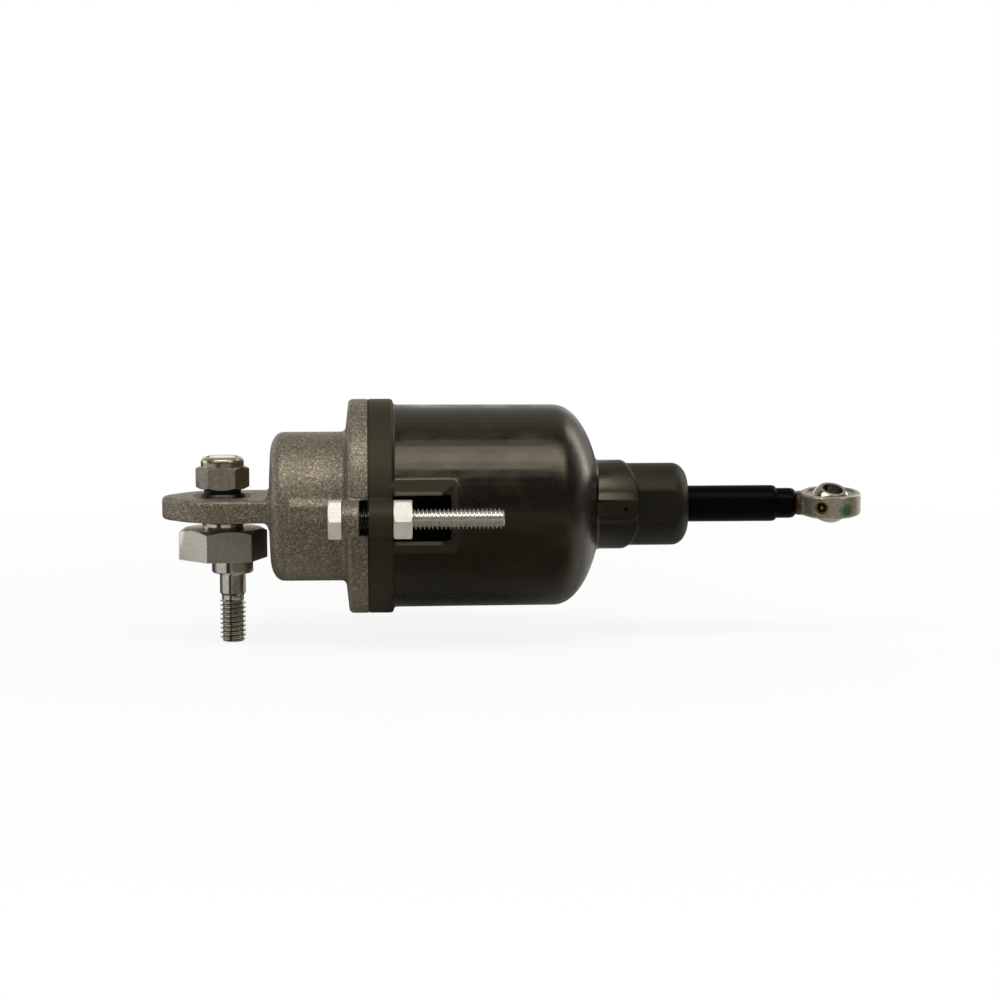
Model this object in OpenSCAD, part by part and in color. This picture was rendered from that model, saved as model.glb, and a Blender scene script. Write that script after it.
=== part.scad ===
// Engine governor actuator: a spring-return diaphragm cylinder on an eccentric mounting stud.
// Millimetres. Origin on the stud's axis at its collar seat, +X to the rod end, +Z up.

/* [Mounting stud] */
// Diameter of shank and thread
stud_d = 7.94; // [6:0.01:10]
// Length of the threaded end
thread_l = 12.7; // [8:0.1:25]
// Diameter of the relief behind the thread
undercut_d = 6.8; // [5:0.1:7.5]
// Length of the relief
undercut_l = 2.1; // [1:0.1:4]
// Length of the plain shank under the collar
shank_l = 6.4; // [3:0.1:15]
// Chamfer at both ends of the stud
stud_chamfer = 0.9; // [0.3:0.1:1.5]
// Diameter of the seat collar
seat_collar_d = 12.7; // [10:0.1:16]
// Height of the seat collar
seat_collar_h = 4.4; // [3:0.1:10]
// Rounding under the seat collar
seat_collar_round = 0.8; // [0.2:0.1:1.2]
// Hexagon across flats
hex_af = 23.8; // [18:0.1:24]
// Hexagon height
hex_h = 9.4; // [5:0.1:12]
// Turn of the hexagon about the pivot
hex_turn = 41; // [0:0.1:60]
// Diameter of the collar under the ball
ball_collar_d = 12.8; // [11:0.1:13]
// Height of the collar under the ball
ball_collar_h = 2.1; // [1.5:0.1:5]
// Diameter of the pivot pin
pivot_pin_d = 9.52; // [8:0.01:10]
// Offset of the shank from the pivot
eccentric = 2.8; // [0:0.1:4]

/* [Lug bearing] */
// Diameter of the lug ball
ball_d = 15.88; // [15:0.01:17]
// Width of the lug ball across its flats
ball_w = 8.8; // [8:0.1:10]
// Outer diameter of the lug race
race_d = 17.2; // [17:0.1:20]
// Width of the lug race
race_w = 6.6; // [5:0.1:7]
// Diameter of the spacer washer
spacer_d = 11.4; // [10.5:0.1:13]
// Thickness of the spacer washer
spacer_h = 1.3; // [0.8:0.1:3]
// Lock nut across flats
locknut_af = 14.29; // [13:0.01:16]
// Height of the lock nut's hexagon
locknut_hex_h = 6.8; // [5:0.1:9]
// Diameter of the lock nut's collar
locknut_collar_d = 13.2; // [12:0.1:14]
// Height of the lock nut's collar
locknut_collar_h = 3; // [2:0.1:4]
// Length of pin past the lock nut
pin_past_nut = 0; // [0:0.1:3]

/* [End cap] */
// Distance from the pivot to the joint of the flanges
pivot_to_joint = 44.6; // [44:0.1:60]
// Outer diameter of the cap
cap_d = 45.8; // [44:0.1:50]
// Length of the cap from the joint to its end wall
cap_l = 29.9; // [26:0.1:30.2]
// Bulge of the end wall
cap_bulge = 0.5; // [0.1:0.1:0.6]
// Radial reach of the rounded end
cap_round_r = 6.5; // [2:0.1:8]
// Axial reach of the rounded end
cap_round_l = 4; // [2:0.1:6]
// Diameter of the air chamber
chamber_d = 35; // [32:0.1:36]
// Thickness of the end wall
cap_end_wall = 4; // [3:0.1:6]
// Diameter of both flanges
flange_d = 65.8; // [64:0.1:68]
// Thickness of the cap's flange
cap_flange_t = 6.3; // [5:0.1:9]
// Slope of the flange's back over its width
cap_flange_draft = 0.8; // [0:0.1:1]
// Fillets of the casting
cast_fillet = 1.3; // [0.8:0.1:1.8]
// Thickness of the lug
lug_t = 7; // [6.8:0.1:7.2]
// Radius of the lug about the pivot
lug_r = 16.5; // [14:0.1:18]
// Radius of the lug's tip
lug_tip_r = 10; // [8:0.1:12]
// Distance from the pivot to the centre of the tip
lug_tip_reach = 8.6; // [8:0.1:14]
// Rounding of the lug's edges
lug_edge = 1.2; // [0.4:0.1:1.8]
// Fillet between lug and end wall
lug_fillet = 2; // [1:0.1:3]
// Width of the rib behind each ear, at its crest
rib_w = 5; // [3:0.1:12]
// Outward slope of the rib's sides
rib_slope = 1.6; // [0.5:0.1:3]
// Height of the rib over the wall
rib_h = 1; // [0.5:0.1:2]
// Diameter of the air port's boss
port_boss_d = 13; // [12:0.1:15]
// Reach of the boss from the axis
port_boss_reach = 27; // [25:0.1:32]
// Diameter of the air port before tapping
port_d = 8.6; // [7:0.1:10]
// Distance from the joint back to the port
port_back = 18.4; // [17:0.1:20]

/* [Flange bolts] */
// Diameter of the circle through both bolts
bolt_circle_d = 72; // [70:0.1:80]
// Diameter of the bolts
bolt_d = 6.35; // [5:0.01:6.6]
// Bolt heads and nuts across flats
bolt_af = 11.11; // [10:0.01:11.6]
// Height of the bolt heads
bolt_head_h = 4; // [3:0.1:6]
// Length of the bolts under the head
bolt_l = 48.7; // [30:0.1:60]
// Height of the nuts
bolt_nut_h = 5.6; // [4:0.1:7]
// Radius of the ears about the bolts
ear_r = 5.3; // [4.8:0.1:6.2]
// Height of the cap's ears behind its flange
ear_proud = 1.5; // [0.5:0.1:3]
// Depth of the ears' roots in the flange
ear_root = 4; // [3:0.1:5]
// Play of the bolts in the ears, across
bolt_play = 0.45; // [0.2:0.01:0.8]
// Gap of the cap's ears at the joint
ear_relief = 2.4; // [1:0.1:4]

/* [Body housing] */
// Thickness of the body's flange
body_flange_t = 7.3; // [5:0.1:10]
// Diameter of the can at the flange
can_d = 62.2; // [61:0.1:63]
// Taper of the can across its length
can_draft = 0.5; // [0:0.1:1]
// Length of the can to the start of the dome
can_l = 49; // [45:0.1:60]
// Length of the dome to its virtual tip
dome_l = 14.8; // [12:0.1:20]
// Bore of the can
can_bore_d = 53; // [52:0.1:54]
// Wall of the dome at the spring seat
seat_wall = 8.1; // [7:0.1:10]
// Rounding of the bore into the spring seat
seat_round = 8; // [3:0.1:9]
// Diameter of the thick part of the neck
neck_d = 27.4; // [26.5:0.1:30]
// Length of the thick part beyond the dome's tip
neck_l = 11.3; // [8:0.1:16]
// Length of the thick part's rounded end
neck_bow = 6; // [3:0.1:8]
// Diameter of the nose
nose_d = 25.3; // [24:0.1:26]
// Length of the nose beyond the thick part
nose_l = 15.4; // [12:0.1:25]
// Length of the nose's rounded tip
nose_round_l = 4.9; // [3:0.1:7]
// Distance across the flats of the nose
nose_af = 23; // [21:0.1:24]
// Width of the vent pad's base
vent_pad_w = 10.4; // [8:0.1:12]
// Width of the vent pad's face
vent_face_w = 5.6; // [4:0.1:7]
// Height of the vent pad over the neck
vent_pad_h = 0.6; // [0.3:0.1:1.5]
// Diameter of the vent
vent_d = 1; // [0.6:0.1:2]
// Distance from the end of the pad to the vent
vent_back = 4.3; // [3:0.1:8]
// Width of the nut pocket
pocket_w = 13.5; // [13.2:0.1:15]
// Length of the nut pocket
pocket_l = 17.3; // [12:0.1:20]
// Gap between a nut's corner and the pocket's floor
pocket_floor_gap = 0.58; // [0.4:0.01:0.8]
// Thickness of the pocket's walls at their crest
pocket_wall = 1; // [0.6:0.1:2]
// Distance from the axis to the crest of the walls
pocket_crest = 35; // [33:0.1:37]
// Length of the crest
pocket_crest_l = 14.4; // [8:0.1:16]
// Outward slope of the pocket's sides
pocket_side_slope = 0.53; // [0.2:0.01:0.8]
// Outward slope of the pocket's end
pocket_end_slope = 0.8; // [0.5:0.1:2]
// Rounding of the pocket's far corners
pocket_round = 2; // [0.5:0.1:4]

/* [Diaphragm and piston] */
// Thickness of the diaphragm
diaphragm_t = 0.5; // [0.4:0.05:0.8]
// Distance from the joint to the crown of the diaphragm
crown_set = 1.3; // [1:0.1:2]
// Distance from the joint to the centre of the fold
fold_set = 14; // [10:0.1:16]
// Width of the rim bead
bead_w = 2; // [1:0.1:2.4]
// Depth of the rim bead
bead_h = 1.9; // [1:0.1:2.4]
// Inner diameter of the rim bead
bead_d = 57.2; // [56:0.1:58]
// Diameter of the piston
piston_d = 47.4; // [46:0.1:47.6]
// Length of the piston
piston_l = 20; // [18:0.1:24]
// Thickness of the piston's head
piston_head_t = 3; // [2:0.1:5]
// Wall of the piston's skirt
piston_skirt_t = 2; // [1.5:0.1:3]
// Diameter of the piston's rod socket
socket_d = 18; // [15:0.1:22]
// Depth of the rod socket
socket_l = 7; // [4:0.1:12]
// Diameter of the clamping plate
plate_d = 37; // [30:0.1:38]
// Thickness of the clamping plate
plate_t = 2; // [1:0.1:2.5]
// Diameter of the piston screw
screw_d = 6; // [4:0.1:7]
// Length of the piston screw in the rod
screw_grip = 15; // [8:0.1:25]
// Across flats of the screw's head
screw_af = 10; // [8:0.1:13]
// Height of the screw's head
screw_head_h = 4; // [3:0.1:6]

/* [Return spring] */
// Mean diameter of the coils
spring_d = 32; // [28:0.1:36]
// Diameter of the wire
wire_d = 2.6; // [1.5:0.1:3.5]
// Number of coils
spring_coils = 7.5; // [5:0.5:10]

/* [Rod] */
// Diameter of the rod
rod_d = 11.14; // [9:0.01:12]
// Length of the rod beyond the nose, to its shoulder
rod_reach = 27.3; // [10:0.1:60]
// Diameter of the reduced end
rod_end_d = 9.3; // [8:0.1:10]
// Length of the reduced end
rod_end_l = 6; // [4:0.1:10]
// Length of the rod's rounding at its shoulder
rod_round_l = 1.6; // [0.5:0.1:3]
// Length of the rounding at the rod's tip
rod_tip_l = 2; // [0.5:0.1:3]
// Wrench flats of the reduced end
rod_flats = 8; // [7:0.1:9]
// Outer diameter of the guide bush
bush_d = 15.2; // [14:0.1:16]
// Length of the guide bush
bush_l = 10; // [6:0.1:14]

/* [Rod end] */
// Distance from the end of the rod to the eye
eye_reach = 10.8; // [10.4:0.1:20]
// Diameter of the eye
eye_d = 18.9; // [18.5:0.1:21]
// Thickness of the eye
eye_t = 6.8; // [6:0.1:8]
// Roll of the eye about the rod
eye_roll = 5.5; // [-90:0.5:90]
// Distance from the rod's axis to the flat sides of the eye
eye_side = 8.9; // [8.6:0.1:11]
// Rounding of the eye's edges
eye_edge = 0.9; // [0.3:0.1:1.4]
// Diameter of the shank in the rod
shank_d = 6.35; // [5:0.01:7]
// Length of the shank in the rod
shank_grip = 15; // [8:0.1:25]
// Diameter of the neck at the rod
eye_neck_d = 7.6; // [6.5:0.1:8.5]
// Outer diameter of the race
eye_race_d = 15.2; // [15:0.1:15.6]
// Width of the race
eye_race_w = 5.6; // [4:0.1:6.5]
// Diameter of the ball
eye_ball_d = 12.7; // [12.5:0.01:13.5]
// Width of the ball
eye_ball_w = 9.52; // [8:0.01:11]
// Bore of the ball
eye_bore_d = 6.35; // [5:0.01:7]
// Lean of the ball towards the front
eye_ball_lean = 16; // [-20:0.5:20]
// Tilt of the ball, its far side down
eye_ball_tilt = 8.5; // [-12:0.5:12]
// Diameter of the oiler
oiler_d = 4.2; // [3:0.1:4.6]
// Place of the oiler round the eye, from the front
oiler_turn = 23; // [0:1:60]

/* [Clearances] */
// Radial play of a turning or sliding fit
run_gap = 0.05; // [0.02:0.01:0.1]
// Radial gap of a pressed or screwed fit
fix_gap = 0.02; // [0.01:0.01:0.05]
// Gap between soft or loose neighbours
soft_gap = 0.1; // [0.05:0.05:0.3]
// Gap between the bolts and the can
bolt_can_gap = 0.4; // [0.2:0.05:1]
// Radial gap round the rod at the nose
nose_gap = 0.33; // [0.3:0.01:0.6]

/* [Hidden] */
$fn = 64;
pivot_x = -eccentric;
joint_x = pivot_x + pivot_to_joint;
axis_z = seat_collar_h + hex_h + ball_collar_h + ball_w / 2;
ball_top = axis_z + ball_w / 2 + run_gap;
locknut_z = ball_top + spacer_h;
pin_top = locknut_z + locknut_hex_h + locknut_collar_h + pin_past_nut;
mouth_d = plate_d + 1.8;
stop_gap = 0.3;
mouth_depth = plate_t + soft_gap - crown_set + stop_gap;
body_x = diaphragm_t;
can_x = body_x + body_flange_t;
dome_x = can_x + can_l;
dome_r = (can_d - can_draft) / 2;
seat_x = dome_x + dome_l - seat_wall;
neck_x = dome_x + dome_l + neck_l;
nose_x = neck_x + nose_l;
nose_hole_r = rod_d / 2 + nose_gap;
bush_x = nose_x - 6.5;
crown_x = crown_set + diaphragm_t;
head_x = crown_x + soft_gap;
rod_x = head_x + piston_head_t;
shoulder_x = nose_x + rod_reach;
rod_tip_x = shoulder_x + rod_end_l;
eye_x = rod_tip_x + eye_reach;
bolt_r = bolt_circle_d / 2;
bolt_head_x = -cap_flange_t - ear_proud;
pocket_floor = bolt_r - bolt_af / cos(30) / 2 - pocket_floor_gap;
spring_from = rod_x + wire_d / 2 + soft_gap;
spring_to = seat_x - wire_d / 2 - soft_gap;

// Points of an elliptical arc
function arc(cx, cy, rx, ry, a0, a1, n = 6) =
  [for (i = [0 : n]) let (a = a0 + (a1 - a0) * i / n) [cx + rx * cos(a), cy + ry * sin(a)]];

// Frames: on the pivot, along the cylinder's axis from the joint, and on the eye
module at_pivot() translate([pivot_x, 0, axis_z]) children();
module on_axis() translate([joint_x, 0, axis_z]) children();
module at_eye() on_axis() translate([eye_x, 0, 0]) rotate([eye_roll, 0, 0]) children();

// Solid of revolution about the cylinder's axis, from points of radius and distance
module turned(points) rotate([0, 90, 0]) rotate_extrude() polygon(points);

// Cylinder along the cylinder's axis
module bar(x0, x1, d) translate([x0, 0, 0]) rotate([0, 90, 0]) cylinder(d = d, h = x1 - x0);

// Repeats a part at both bolts, front and back
module both_bolts() for (s = [0, 180]) rotate([s, 0, 0]) translate([0, -bolt_r, 0]) children();

// Hexagon prism with turned-off corners at one or both ends
module hexagon(af, h, low = true, high = true) {
  ac = af / cos(30);
  cut = (ac - af) / 2 * 0.62;
  intersection() {
    rotate([0, 0, 30]) cylinder(d = ac, h = h, $fn = 6);
    rotate_extrude() polygon([[0, 0], [low ? af / 2 : ac, 0], [low ? ac / 2 + 0.1 : ac, low ? cut : 0],
      [high ? ac / 2 + 0.1 : ac, high ? h - cut : h], [high ? af / 2 : ac, h], [0, h]]);
  }
}

// Ball with flats and a bore
module drilled_ball(d, w, bore) difference() {
  intersection() {
    sphere(d = d);
    translate([0, 0, -w / 2]) cylinder(d = d + 1, h = w);
  }
  translate([0, 0, -w]) cylinder(d = bore, h = 2 * w);
}

// Ring with a spherical seat
module ball_seat(d, w, ball) difference() {
  translate([0, 0, -w / 2]) cylinder(d = d, h = w);
  sphere(d = ball + 2 * run_gap);
}

module mounting_stud() color([0.8, 0.8, 0.78]) {
  r = stud_d / 2;
  tip = -(shank_l + undercut_l + thread_l);
  c = seat_collar_d / 2;
  rotate_extrude() polygon(concat(
    [[0, tip], [r - stud_chamfer, tip], [r, tip + stud_chamfer], [r, -shank_l - undercut_l],
     [undercut_d / 2, -shank_l - undercut_l + 0.5], [undercut_d / 2, -shank_l - 0.5], [r, -shank_l], [r, 0]],
    arc(c - seat_collar_round, seat_collar_round, seat_collar_round, seat_collar_round, -90, 0),
    [[c, seat_collar_h], [0, seat_collar_h]]));
  translate([pivot_x, 0, seat_collar_h]) {
    rotate([0, 0, hex_turn]) hexagon(hex_af, hex_h, false);
    translate([0, 0, hex_h - 0.01]) cylinder(d = ball_collar_d, h = ball_collar_h + 0.01);
  }
  p = pivot_pin_d / 2;
  translate([pivot_x, 0, 0]) rotate_extrude() polygon([[0, seat_collar_h + 1], [p, seat_collar_h + 1],
    [p, pin_top - stud_chamfer], [p - stud_chamfer, pin_top], [0, pin_top]]);
}

module spacer_washer() color([0.1, 0.1, 0.1]) translate([pivot_x, 0, ball_top]) difference() {
  cylinder(d = spacer_d, h = spacer_h);
  translate([0, 0, -1]) cylinder(d = pivot_pin_d + 2 * fix_gap, h = spacer_h + 2);
}

module stud_locknut() color([0.7, 0.68, 0.6]) translate([pivot_x, 0, locknut_z]) difference() {
  c = locknut_collar_d / 2;
  union() {
    rotate([0, 0, 30]) hexagon(locknut_af, locknut_hex_h);
    rotate_extrude() polygon(concat([[0, 1], [c, 1]],
      arc(c - 1.6, locknut_hex_h + locknut_collar_h - 1.6, 1.6, 1.6, 0, 90),
      [[0, locknut_hex_h + locknut_collar_h]]));
  }
  translate([0, 0, -1]) cylinder(d = pivot_pin_d + 2 * fix_gap, h = 30);
  translate([0, 0, locknut_hex_h]) cylinder(d = pivot_pin_d + 1.6, h = locknut_collar_h - 0.6);
}

module locknut_insert() color([0.85, 0.83, 0.75])
translate([pivot_x, 0, locknut_z + locknut_hex_h]) difference() {
  translate([0, 0, fix_gap])
    cylinder(d = pivot_pin_d + 1.6 - 2 * fix_gap, h = locknut_collar_h - 0.6 - 2 * fix_gap);
  translate([0, 0, -1]) cylinder(d = pivot_pin_d + 2 * fix_gap, h = locknut_collar_h + 2);
}

module lug_ball() color([0.75, 0.75, 0.72]) at_pivot()
  drilled_ball(ball_d, ball_w, pivot_pin_d + 2 * run_gap);

module lug_race() color([0.08, 0.08, 0.08]) at_pivot() ball_seat(race_d, race_w, ball_d);

// Lug outline from the cap's end round the tip, drawn in by inset
function lug_outline(inset) =
  let (a = acos((lug_r - lug_tip_r) / lug_tip_reach), n = 10)
  concat([[pivot_to_joint - cap_l + 2, lug_r - inset]],
    arc(0, 0, lug_r - inset, lug_r - inset, 90, 180 - a, 5),
    arc(-lug_tip_reach, 0, lug_tip_r - inset, lug_tip_r - inset, 180 - a, 180 + a, n),
    arc(0, 0, lug_r - inset, lug_r - inset, 180 + a, 270, 5),
    [[pivot_to_joint - cap_l + 2, -lug_r + inset]]);

// Lug plate with rounded edges, lofted through insets of its outline
module lug_plate() {
  steps = 4;
  low = [for (i = [0 : steps]) let (a = -90 + 90 * i / steps)
    [lug_edge * (1 - cos(a)), -lug_t / 2 + lug_edge * (1 + sin(a))]];
  high = [for (i = [0 : steps]) let (a = 90 * i / steps)
    [lug_edge * (1 - cos(a)), lug_t / 2 - lug_edge * (1 - sin(a))]];
  levels = concat(low, high);
  rings = [for (l = levels) [for (p = lug_outline(l[0])) [p[0], p[1], l[1]]]];
  n = len(rings[0]);
  m = len(rings);
  polyhedron([for (ring = rings) for (p = ring) p],
    concat([[for (i = [0 : n - 1]) i]],
      [for (k = [0 : m - 2]) for (i = [0 : n - 1]) let (j = (i + 1) % n)
        [k * n + i, (k + 1) * n + i, (k + 1) * n + j, k * n + j]],
      [[for (i = [n - 1 : -1 : 0]) (m - 1) * n + i]]));
}

// Fillet strips over and under the lug at the end wall
module lug_fillets() for (s = [0, 1]) mirror([0, 0, s]) {
  x = -cap_l - cap_bulge;
  h = lug_t / 2;
  f = lug_fillet;
  translate([0, lug_r - 3, 0]) rotate([90, 0, 0]) linear_extrude(2 * lug_r - 6)
    polygon(concat([[x + 2, h - 1], [x - f, h - 1]], arc(x - f, h + f, f, f, -90, 0), [[x + 2, h + f]]));
}

// Ear outline about a bolt, reaching in to the flange
module ear(x0, x1) translate([x0, 0, 0]) rotate([0, 90, 0]) linear_extrude(x1 - x0)
  polygon(concat(arc(0, 0, ear_r, ear_r, 180, 360, 16),
    [[ear_r, bolt_r - flange_d / 2 + ear_root], [-ear_r, bolt_r - flange_d / 2 + ear_root]]));

// Sloped rib between an ear and the cap's wall, ending at x
module ear_rib(x) intersection() {
  r = cap_d / 2;
  w = rib_w / 2;
  s = (rib_h + 1) * rib_slope;
  translate([0, 0, -20]) linear_extrude(40)
    polygon([[-cap_l + 5, -r + 1], [-cap_l + 6.5, -r - rib_h], [x, -r - rib_h], [x, -r + 1]]);
  translate([-cap_l, 0, 0]) rotate([90, 0, 90]) linear_extrude(cap_l)
    polygon([[-r - rib_h, -w], [-r - rib_h, w], [-r + 1, w + s], [-r + 1, -w - s]]);
}

module end_cap() color([0.55, 0.52, 0.45]) {
  r = cap_d / 2;
  fl = flange_d / 2;
  f = cast_fillet;
  back = -cap_flange_t - cap_flange_draft / 2;
  rim = -cap_flange_t + cap_flange_draft / 2;
  dome = r - cap_round_r;
  on_axis() difference() {
    union() {
      turned(concat(
        [for (i = [0 : 4]) [dome * i / 4, -cap_l - cap_bulge * (1 - pow(i / 4, 2))]],
        arc(dome, -cap_l + cap_round_l, cap_round_r, cap_round_l, -80, 0, 8),
        arc(r + f, back - f, f, f, 180, 90),
        arc(fl - f, rim + f, f, f, -90, 0),
        [[fl, 0], [0, 0]]));
      translate([-pivot_to_joint, 0, 0]) lug_plate();
      lug_fillets();
      both_bolts() ear(bolt_head_x, -ear_relief);
      both_bolts() translate([0, bolt_r, 0]) ear_rib(back + 1);
      translate([-port_back, 0, 0]) rotate([-90, 0, 0]) rotate_extrude()
        polygon(concat([[0, r - 3], [port_boss_d / 2, r - 3]],
          arc(port_boss_d / 2 - 0.8, port_boss_reach - 0.8, 0.8, 0.8, 0, 90, 4), [[0, port_boss_reach]]));
    }
    turned(concat([[0, -cap_l + cap_end_wall]],
      arc(chamber_d / 2 - 3, -cap_l + cap_end_wall + 3, 3, 3, -90, 0),
      [[chamber_d / 2, -mouth_depth], [mouth_d / 2, -mouth_depth], [mouth_d / 2, 1], [0, 1]]));
    translate([-pivot_to_joint, 0, -lug_t]) cylinder(d = race_d + 2 * fix_gap, h = 2 * lug_t);
    both_bolts() bar(bolt_head_x - 1, 1, bolt_d + bolt_play);
    both_bolts() translate([-ear_relief, -ear_r - 1, -ear_r])
      cube([ear_relief + 1, bolt_r - flange_d / 2 + ear_r + 3, 2 * ear_r]);
    translate([-port_back, 0, 0]) rotate([-90, 0, 0])
      translate([0, 0, chamber_d / 2 - 3]) cylinder(d = port_d, h = port_boss_reach);
  }
}

module diaphragm() color([0.12, 0.12, 0.12]) on_axis() {
  t = diaphragm_t;
  out = can_bore_d / 2 - soft_gap;
  in = piston_d / 2 + soft_gap;
  mid = (out + in) / 2;
  fold = (out - in) / 2;
  b = bead_d / 2;
  turned(concat(
    [[screw_d / 2 + soft_gap, crown_set], [in + t, crown_set]],
    [[in + t, fold_set]],
    arc(mid, fold_set, fold - t, fold - t, 180, 0, 8),
    [[out - t, 0], [flange_d / 2 - 0.2, 0], [flange_d / 2 - 0.2, t], [b + bead_w, t],
     [b + bead_w, t + bead_h], [b, t + bead_h], [b, t], [out, t]],
    arc(mid, fold_set, fold, fold, 0, 180, 12),
    [[in, crown_x], [screw_d / 2 + soft_gap, crown_x]]));
}

// Outside of the can, dome and nose
module housing_outside() {
  fl = flange_d / 2;
  n = nose_d / 2;
  turned(concat(
    [[0, body_x], [fl, body_x]],
    arc(fl - 1, can_x - 1, 1, 1, 0, 90, 4),
    [[can_d / 2, can_x]],
    arc(0, dome_x, dome_r, dome_l, 0, acos(n / dome_r), 14),
    arc(nose_hole_r, nose_x - nose_round_l, n - nose_hole_r, nose_round_l, 0, 90, 8),
    [[0, nose_x]]));
}

// Inside of the can with the spring seat and the neck's bores
module housing_inside() {
  c = can_bore_d / 2;
  b = bush_d / 2 + fix_gap;
  turned(concat(
    [[0, body_x - 1], [c, body_x - 1]],
    arc(c - seat_round, seat_x - seat_round, seat_round, seat_round, 0, 90, 6),
    [[b, seat_x], [b, bush_x], [nose_hole_r, bush_x], [nose_hole_r, nose_x + 1], [0, nose_x + 1]]));
}

// Walls round a nut pocket, drawn in from both sides, and a wedge that ends them
module pocket_walls() {
  w = pocket_w / 2 + pocket_wall;
  d = pocket_crest - pocket_floor + 1;
  intersection() {
    translate([can_x - 0.1, 0, 0]) rotate([90, 0, 90]) linear_extrude(60)
      polygon([[-pocket_crest, -w], [-pocket_crest, w],
        [-pocket_crest + d, w + d * pocket_side_slope], [-pocket_crest + d, -w - d * pocket_side_slope]]);
    translate([0, 0, -30]) linear_extrude(60)
      polygon([[can_x - 1, -pocket_crest], [can_x + pocket_crest_l, -pocket_crest],
        [can_x + pocket_crest_l + d * pocket_end_slope, -pocket_crest + d], [can_x - 1, -pocket_crest + d]]);
  }
}

// Space for a nut, open outwards, with rounded far corners
module nut_pocket() translate([can_x, -pocket_floor, 0]) rotate([90, 0, 0]) linear_extrude(20) {
  w = pocket_w / 2;
  x = pocket_l - pocket_round;
  polygon(concat([[0, -w]], arc(x, -w + pocket_round, pocket_round, pocket_round, -90, 0),
    arc(x, w - pocket_round, pocket_round, pocket_round, 0, 90), [[0, w]]));
}

// Thick part of the neck, its end rounded as seen across the rod
module neck_barrel(d) intersection() {
  r = d / 2 + 0.05;
  bar(dome_x, neck_x + 1, d);
  translate([0, 40, 0]) rotate([90, 0, 0]) linear_extrude(80)
    polygon(concat([[0, -r]], arc(neck_x - neck_bow, 0, neck_bow, r, -90, 90, 24), [[0, r]]));
}

// Raised pad round the vent, with a round end
module vent_pad() intersection() {
  y = neck_d / 2 + vent_pad_h;
  d = vent_pad_h + 1.2;
  r = vent_pad_w / 2 + 0.1;
  translate([dome_x + dome_l / 2, 0, 0]) rotate([90, 0, 90]) linear_extrude(60)
    polygon([[-y, -vent_face_w / 2], [-y, vent_face_w / 2], [-y + d, vent_pad_w / 2],
      [-y + d + 2, vent_pad_w / 2], [-y + d + 2, -vent_pad_w / 2], [-y + d, -vent_pad_w / 2]]);
  rotate([90, 0, 0]) linear_extrude(40)
    polygon(concat([[0, -r]], arc(neck_x - 0.5 - r, 0, r, r, -90, 90, 12), [[0, r]]));
}

module body_housing() color([0.2, 0.19, 0.16]) on_axis() difference() {
  union() {
    difference() {
      housing_outside();
      for (s = [-1, 1]) translate([neck_x - neck_l, s * (nose_af / 2 + 10) - 10, -20]) cube([80, 20, 40]);
    }
    neck_barrel(neck_d);
    vent_pad();
    both_bolts() ear(body_x, can_x);
    for (s = [0, 180]) rotate([s, 0, 0]) pocket_walls();
  }
  housing_inside();
  bead = bead_d / 2;
  turned([[bead - fix_gap, 0], [bead + bead_w + fix_gap, 0],
    [bead + bead_w + fix_gap, body_x + bead_h + fix_gap], [bead - fix_gap, body_x + bead_h + fix_gap]]);
  both_bolts() bar(0, can_x + 1, bolt_d + bolt_play);
  both_bolts() bar(can_x, bolt_head_x + bolt_l + bolt_can_gap, bolt_d + 2 * bolt_can_gap);
  for (s = [0, 180]) rotate([s, 0, 0]) nut_pocket();
  translate([neck_x - vent_back, 0, 0]) rotate([90, 0, 0]) cylinder(d = vent_d, h = 40);
}

module flange_bolts() color([0.85, 0.85, 0.82]) on_axis() both_bolts() {
  translate([bolt_head_x, 0, 0]) rotate([0, -90, 0]) hexagon(bolt_af, bolt_head_h, false, true);
  translate([bolt_head_x - 1, 0, 0]) rotate([0, 90, 0]) rotate_extrude() polygon([[0, 0], [bolt_d / 2, 0],
    [bolt_d / 2, bolt_l + 0.2], [bolt_d / 2 - 0.8, bolt_l + 1], [0, bolt_l + 1]]);
}

module flange_nuts() color([0.85, 0.85, 0.82]) on_axis() both_bolts() difference() {
  translate([can_x, 0, 0]) rotate([0, 90, 0]) hexagon(bolt_af, bolt_nut_h);
  bar(can_x - 1, can_x + bolt_nut_h + 1, bolt_d + 2 * fix_gap);
}

// Height of the wire along the spring, with closed end coils
function coil_rise(t) =
  let (e = 1 / spring_coils, p = wire_d * 1.02, span = spring_to - spring_from)
  t < e ? p * t / e : t > 1 - e ? span - p * (1 - t) / e : p + (span - 2 * p) * (t - e) / (1 - 2 * e);

module return_spring() color([0.5, 0.5, 0.5]) on_axis() {
  rings = floor(spring_coils * 14);
  sides = 8;
  points = [for (k = [0 : rings]) let (t = k / rings, a = 360 * spring_coils * t)
    for (i = [0 : sides - 1]) let (b = 360 * i / sides, r = spring_d / 2 + wire_d / 2 * cos(b))
      [spring_from + coil_rise(t) + wire_d / 2 * sin(b), r * cos(a), r * sin(a)]];
  polyhedron(points, concat([[for (i = [sides - 1 : -1 : 0]) i]],
    [for (k = [0 : rings - 1]) for (i = [0 : sides - 1]) let (j = (i + 1) % sides)
      [k * sides + i, k * sides + j, (k + 1) * sides + j, (k + 1) * sides + i]],
    [[for (i = [0 : sides - 1]) rings * sides + i]]));
}

module rod_bush() color([0.6, 0.5, 0.25]) on_axis() turned([
  [rod_d / 2 + run_gap, bush_x - bush_l], [bush_d / 2, bush_x - bush_l],
  [bush_d / 2, bush_x], [rod_d / 2 + run_gap, bush_x]]);

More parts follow.
